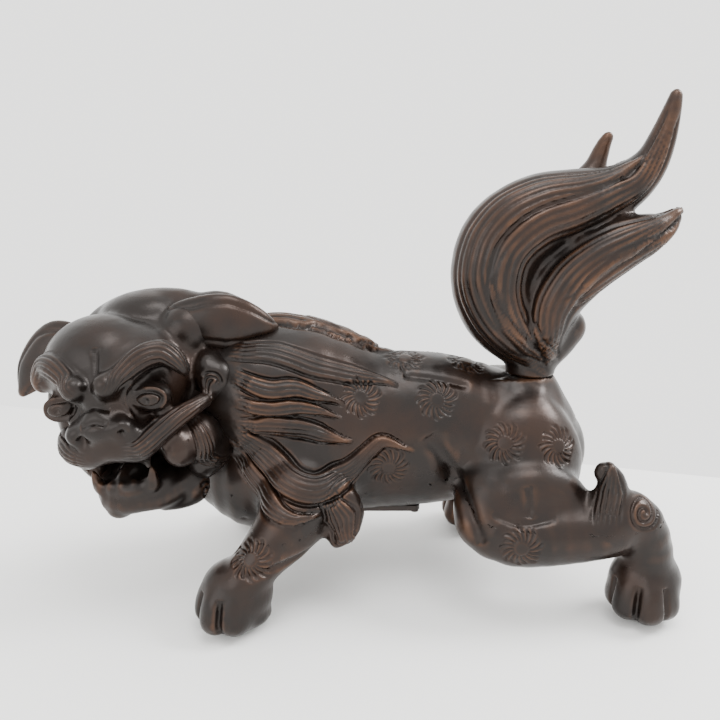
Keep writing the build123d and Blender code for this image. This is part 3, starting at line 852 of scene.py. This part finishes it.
@dataclass
class Jaw:
    """The lower jaw with its teeth, tongue and chin."""

    cell: float = 0.85

    def press(self) -> bpy.types.Object:
        """Return the skin of the lower jaw."""
        clay = Clay("jaw", head_frame())
        clay.ball((14, 0, -40), (24, 20, 8))
        clay.limb(((4, 25, -38, 7), (14, 22, -45, 7.5), (25, 13, -47, 7), (30, 3, -46, 7),
                   (30, -8, -46, 7.5), (24, -15, -44, 7), (8, -20, -38, 7)))
        clay.ball((30, -9, -50), (6.5, 7, 5.5))
        clay.limb(((10, 26, -46, 6), (14, 26, -51, 6.5), (18, 20, -54, 5), (24, 12, -53, 4)))
        clay.limb(((6, -20, -40, 6), (4, 0, -44, 8), (4, 20, -40, 6)))
        clay.limb(((8, 0, -36, 7), (20, -2, -35, 7), (28, -3, -35, 5)))
        for across in (-12, -6, 0, 6, 12):
            clay.ball((34 - abs(across) * 0.18, across - 3, -38), (3, 3, 4.4))
        clay.limb(((32, 12, -38, 3.4), (32, 13, -33, 2.6), (32, 13.5, -28.5, 1.4)))
        clay.limb(((30, -17, -38, 3.4), (30, -18, -33, 2.6), (30, -18, -29, 1.4)))
        clay.ball((15, 25, -50), (8, 6, 7))
        return clay.knead(1.5, 2, self.cell, 1)

    def chase(self, skin: bpy.types.Object) -> None:
        """Cut the beard's strands and the lip's line."""
        chaser = Chaser(skin)
        front = head_view(0, -20)
        places, outs = chaser.lay(((-20, -8), (-12, -12), (0, -13), (12, -11), (22, -8)), front)
        chaser.line(places, outs, 1.3, 1.2)
        places, outs = chaser.lay(((-16, -14), (-6, -17), (6, -17), (16, -14)), front)
        chaser.line(places, outs, 1.2, 1.0)
        chaser.settle()
        spiral = [(15 + 5.5 * r * math.cos(a), -52 + 5.5 * r * math.sin(a))
                  for a, r in zip(np.linspace(0.6, 0.6 + 1.6 * math.tau, 24), np.linspace(1, 0.15, 24))]
        curl = [(across, 31, up) for across, up in spiral]
        chaser.line(*chaser.drape(curl, head_frame()), 0.9, 1.2, 0.05)
        chaser.settle()
        chaser.mark_high_points()


@dataclass
class Ear:
    """A pricked ear, hollowed at the front."""

    name: str
    stations: tuple[tuple[float, float, float, float], ...]
    flat: tuple[float, float, float]
    cell: float = 0.8

    def press(self) -> bpy.types.Object:
        """Return the skin of the ear."""
        clay = Clay(self.name, head_frame())
        clay.strap(self.stations, self.flat, 0.38)
        return clay.knead(1.4, 2, self.cell, 1)

    def chase(self, skin: bpy.types.Object) -> None:
        """Hollow the ear and raise the hairs in it."""
        chaser = Chaser(skin)
        front = head_view(20 if self.stations[0][1] > 0 else -20, 5)
        origin = front.origin
        path = []
        for x, y, z, radius in self.stations:
            place = head_frame() @ Vector((x, y, z)) - origin
            path.append((place.dot(front.across), place.dot(front.up), radius))
        places, outs = chaser.lay([(a, b) for a, b, _ in path], front)
        widths = [radius * 0.62 for _, _, radius in path]
        chaser.lock(places, outs, widths, 0.9, 1, 0.0)
        chaser.settle()
        chaser.mark_high_points()


@dataclass
class Tail:
    """The tail plume: locks that sweep up and back from one root into free tips."""

    cell: float = 1.1
    foot_height: float = 120.4  # just clear of the socket's rim

    def press(self) -> bpy.types.Object:
        """Return the skin of the tail."""
        clay = Clay("tail")
        locks = (
            ((94, 0, 132, 12), (84, -2, 142, 16), (74, -3, 156, 20), (70, -2, 174, 22), (76, 0, 192, 23),
             (92, 2, 204, 22), (110, 3, 210, 19), (128, 3, 215, 15), (141, 2, 222, 12), (150, 1, 232, 9),
             (155, 1, 245, 7), (157.5, 0, 257, 5), (159, 0, 265, 3.6)),
            ((96, 8, 138, 10), (92, 14, 160, 14), (94, 17, 184, 16), (106, 20, 202, 14), (119, 23, 216, 10),
             (128, 25, 228, 6.5), (132, 26, 239, 4.8), (135, 26, 246, 3.4)),
            ((98, -2, 132, 10), (97, -7, 148, 14), (104, -8, 166, 16), (118, -9, 180, 15), (132, -9, 190,
                14),
             (146, -9, 196, 11), (156, -9, 200, 7), (162, -9, 206, 3.4)),
            ((98, 0, 126, 9), (106, -1, 136, 10), (112, -2, 146, 10.5)),
            ((94, 0, 121, 13.5), (92, 0, 128, 12)),
        )
        for lock in locks:
            clay.limb(lock, 0.35)
        return clay.knead(2.0, 3, self.cell, 1)

    def chase(self, skin: bpy.types.Object) -> None:
        """Comb the plume in long strands that follow its outline."""
        chaser = Chaser(skin)
        for view in (LEFT_FLANK, RIGHT_FLANK):
            for path, widths, strands in (
                (((96, 128), (80, 138), (66, 152), (58, 168), (57, 182), (62, 198), (74, 211), (92, 219),
                  (112, 222), (128, 226), (140, 232)), (4, 8, 9, 10, 10, 10, 10, 9, 7, 5, 2), 5),
                (((100, 132), (88, 142), (78, 156), (74, 172), (78, 188), (92, 200), (110, 206), (128, 214),
                  (142, 222), (150, 236), (155, 250)), (4, 7, 8, 9, 9, 9, 9, 8, 6, 5, 3), 5),
                (((102, 132), (98, 146), (98, 160), (106, 176), (120, 188), (136, 196), (150, 202), (162,
                    208)),
                 (4, 8, 10, 10, 9, 8, 5, 2), 6),
                (((110, 164), (122, 174), (136, 184), (150, 192), (158, 198)), (4, 7, 8, 6, 2), 5),
            ):
                places, outs = chaser.lay(path, view)
                chaser.lock(places, outs, widths, 1.6, strands, 0.8)
                chaser.settle()
        chaser.points[:, 2] = np.maximum(chaser.points[:, 2], self.foot_height)
        chaser.settle()
        chaser.mark_high_points()


# --------------------------------------------------------------------------------------- finishes


def socket(group: bpy.types.NodeTree, way: str, kind: str, name: str, value: float | None = None) -> None:
    """Add an input or output to a node group."""
    made = group.interface.new_socket(name=name, in_out=way, socket_type=kind)
    if value is not None:
        made.default_value = value


class WornBronze:
    """The shared effect: patina in the hollows, rubbed metal on the high points, and a cast grain."""

    def __init__(self) -> None:
        """Build the node group once."""
        self.group = bpy.data.node_groups.new("worn_bronze", "ShaderNodeTree")
        tree = self.group
        socket(tree, "INPUT", "NodeSocketColor", "Patina")
        socket(tree, "INPUT", "NodeSocketColor", "Rust")
        socket(tree, "INPUT", "NodeSocketColor", "Rubbed")
        socket(tree, "INPUT", "NodeSocketFloat", "Wear", 1.0)
        socket(tree, "OUTPUT", "NodeSocketColor", "Colour")
        socket(tree, "OUTPUT", "NodeSocketFloat", "Roughness")
        socket(tree, "OUTPUT", "NodeSocketFloat", "Relief")
        new, join = tree.nodes.new, tree.links.new
        given = new("NodeGroupInput")
        out = new("NodeGroupOutput")
        place = new("ShaderNodeTexCoord")

        def noise(scale: float, detail: float) -> bpy.types.NodeSocket:
            """Return a cloudy pattern in space at a scale."""
            node = new("ShaderNodeTexNoise")
            node.inputs["Scale"].default_value = scale
            node.inputs["Detail"].default_value = detail
            join(place.outputs["Object"], node.inputs["Vector"])
            return node.outputs["Fac"]

        def span(
            value: bpy.types.NodeSocket, low: float, high: float, to_low: float = 0.0, to_high: float = 1.0
        ) -> bpy.types.NodeSocket:
            """Stretch a value from one range to another."""
            node = new("ShaderNodeMapRange")
            ends = {"From Min": low, "From Max": high, "To Min": to_low, "To Max": to_high}
            for name, number in ends.items():
                node.inputs[name].default_value = number
            join(value, node.inputs["Value"])
            return node.outputs["Result"]

        def mix(
            amount: bpy.types.NodeSocket, first: bpy.types.NodeSocket, second: bpy.types.NodeSocket
        ) -> bpy.types.NodeSocket:
            """Lay a second colour over a first by an amount."""
            node = new("ShaderNodeMix")
            node.data_type = "RGBA"
            join(amount, node.inputs["Factor"])
            join(first, node.inputs[6])
            join(second, node.inputs[7])
            return node.outputs[2]

        def times(first: bpy.types.NodeSocket, second: bpy.types.NodeSocket | float) -> bpy.types.NodeSocket:
            """Multiply two values, or a value by a number."""
            node = new("ShaderNodeMath")
            node.operation = "MULTIPLY"
            join(first, node.inputs[0])
            if isinstance(second, float):
                node.inputs[1].default_value = second
            else:
                join(second, node.inputs[1])
            return node.outputs[0]

        shape = new("ShaderNodeAttribute")
        shape.attribute_name = "rubbed"
        high = span(shape.outputs["Fac"], 0.15, 0.9)
        patches = span(noise(34.0, 4.0), 0.42, 0.68)
        cloud = span(noise(16.0, 3.0), 0.35, 0.72)
        worn = times(times(high, span(noise(60.0, 5.0), 0.3, 0.65)), given.outputs["Wear"])
        rust = times(patches, 0.55)
        base = mix(rust, given.outputs["Patina"], given.outputs["Rust"])
        base = mix(times(cloud, 0.35), base, given.outputs["Patina"])
        join(mix(worn, base, given.outputs["Rubbed"]), out.inputs["Colour"])
        fine = noise(420.0, 6.0)
        rough = span(noise(90.0, 4.0), 0.3, 0.7, 0.25, 0.41)
        join(rough, out.inputs["Roughness"])
        join(fine, out.inputs["Relief"])


@dataclass(frozen=True)
class BronzeFinish:
    """A bronze with its own colours and amount of wear."""

    name: str
    patina: tuple[float, float, float]
    rust: tuple[float, float, float]
    rubbed: tuple[float, float, float]
    wear: float
    metallic: float = 0.55

    def make(self, effect: WornBronze) -> bpy.types.Material:
        """Return the material."""
        material = bpy.data.materials.new(self.name)
        material.use_nodes = True
        tree = material.node_tree
        shader = tree.nodes["Principled BSDF"]
        group = tree.nodes.new("ShaderNodeGroup")
        group.node_tree = effect.group
        for name, colour in (("Patina", self.patina), ("Rust", self.rust), ("Rubbed", self.rubbed)):
            group.inputs[name].default_value = (*colour, 1.0)
        group.inputs["Wear"].default_value = self.wear
        shader.inputs["Metallic"].default_value = self.metallic
        shader.inputs["Specular IOR Level"].default_value = 0.5
        bump = tree.nodes.new("ShaderNodeBump")
        bump.inputs["Strength"].default_value = 0.12
        bump.inputs["Distance"].default_value = 0.0006
        tree.links.new(group.outputs["Relief"], bump.inputs["Height"])
        tree.links.new(group.outputs["Colour"], shader.inputs["Base Color"])
        tree.links.new(group.outputs["Roughness"], shader.inputs["Roughness"])
        tree.links.new(bump.outputs["Normal"], shader.inputs["Normal"])
        return material


PATINATED = BronzeFinish("patinated_bronze", (0.0100, 0.0068, 0.0056), (0.034, 0.0135, 0.0062), (0.16,
    0.070, 0.031), 0.38)
FITTING = BronzeFinish("fitting_bronze", (0.020, 0.014, 0.011), (0.05, 0.024, 0.012), (0.20, 0.10, 0.05),
    0.6)
PLUG = BronzeFinish("plug_bronze", (0.016, 0.011, 0.009), (0.042, 0.020, 0.010), (0.18, 0.09, 0.045), 0.5)


# ------------------------------------------------------------------------------------------ studio


@dataclass
class Studio:
    """A pale table, pale surrounding air and broad lights."""

    floor_colour: tuple[float, float, float] = (0.83, 0.83, 0.82)

    def sweep(self) -> None:
        """Lay the pale floor."""
        pale = bpy.data.materials.new("pale_paper")
        pale.use_nodes = True
        shader = pale.node_tree.nodes["Principled BSDF"]
        shader.inputs["Base Color"].default_value = (*self.floor_colour, 1)
        shader.inputs["Roughness"].default_value = 0.85
        bpy.ops.mesh.primitive_plane_add(size=2, location=(0, 0, -0.0004))
        floor = bpy.context.object
        edge_left, edge_right = Vector((-0.363, 0.306, 0)), Vector((0.278, 0.130, 0))
        along = (edge_right - edge_left).normalized()
        off = Vector((-along.y, along.x, 0))
        for point in floor.data.vertices:
            length, depth = (3 if point.co.x > 0 else -3), (0 if point.co.y > 0 else -4)
            point.co = edge_left + along * length + off * depth
        floor.name = "floor"
        floor.data.materials.append(pale)

    def light(self) -> None:
        """Hang the soft lights."""
        for name, place, aim, size, power in (
            ("key", (0.95, 0.1, 0.95), (0.02, 0, 0.08), 0.5, 17.0),
            ("fill", (-0.8, -1.0, 0.6), (0, 0, 0.1), 1.0, 5.0),
            ("top", (0.15, -0.35, 1.3), (0, 0, 0.1), 0.7, 9.0),
        ):
            lamp = bpy.data.lights.new(name, "AREA")
            lamp.shape = "DISK"
            lamp.size = size
            lamp.energy = power
            light = bpy.data.objects.new(name, lamp)
            bpy.context.scene.collection.objects.link(light)
            light.location = place
            light.rotation_euler = (Vector(aim) - Vector(place)).to_track_quat("-Z", "Y").to_euler()
        world = bpy.data.worlds.new("studio_air")
        world.use_nodes = True
        world.node_tree.nodes["Background"].inputs["Color"].default_value = (0.95, 0.945, 0.93, 1)
        world.node_tree.nodes["Background"].inputs["Strength"].default_value = 2.4
        bpy.context.scene.world = world

    def camera(self) -> None:
        """Stand the camera in front of the lion's left side."""
        lens = bpy.data.cameras.new("camera")
        lens.sensor_width = 36.0
        lens.lens = 36.1
        lens.clip_start = 0.01
        camera = bpy.data.objects.new("camera", lens)
        bpy.context.scene.collection.objects.link(camera)
        camera.location = Vector((0.0, -0.385, 0.230)) + working_shift()
        camera.rotation_euler = (math.radians(75), 0, 0)
        bpy.context.scene.camera = camera


def dress_fittings(finishes: dict[str, bpy.types.Material]) -> None:
    """Give every carried-over node its own bronze."""
    kinds = {
        "plug_bronze": ("belly_plate", "sole_plugs"),
        "fitting_bronze": ("neck_collar", "neck_pins", "leg_cotters", "jaw_pins", "ear_pins",
                           "belly_plate_rivets", "tail_socket", "tail_tenon", "tail_tenon_pin"),
    }
    for kind, names in kinds.items():
        for name in names:
            node = bpy.data.objects[name]
            for slot in node.material_slots:
                slot.material = finishes[kind]
            LOG.info("%s: %s", name, kind)


def main() -> None:
    """Build the lion, piece by piece."""
    studio = Studio()
    studio.camera()
    studio.sweep()
    studio.light()
    effect = WornBronze()
    finishes = {finish.name: finish.make(effect) for finish in (PATINATED, FITTING, PLUG)}
    bronze = finishes["patinated_bronze"]
    torso = Torso()
    skin = torso.press()
    torso.chase(skin)
    for node, casting in torso.part(skin).items():
        finish_casting(casting, f"{node}_worked", "lion", node, bronze)
    ears = (
        Ear("left_ear", ((-9, 27, 35, 8), (-8, 36, 32, 13), (-9, 50, 30, 15), (-13, 62, 26, 11), (-19,
            72, 22, 4)), (1, 0.25, 0.1)),
        Ear("right_ear", ((-2, -26, 31, 8), (-1, -38, 30, 13), (2, -51, 20, 11), (4, -60, 9, 4)), (1,
            -0.2, 0.2)),
    )
    for maker, node, body in (
        (Head(), "head_casting", "lion"),
        (Jaw(), "lower_jaw", "lion"),
        (ears[0], "left_ear", "lion"),
        (ears[1], "right_ear", "lion"),
        (Tail(), "tail_plume", "tail"),
    ):
        skin = maker.press()
        maker.chase(skin)
        finish_casting(skin, f"{node}_worked", body, node, bronze)
    dress_fittings(finishes)


if __name__ == "__main__":
    main()
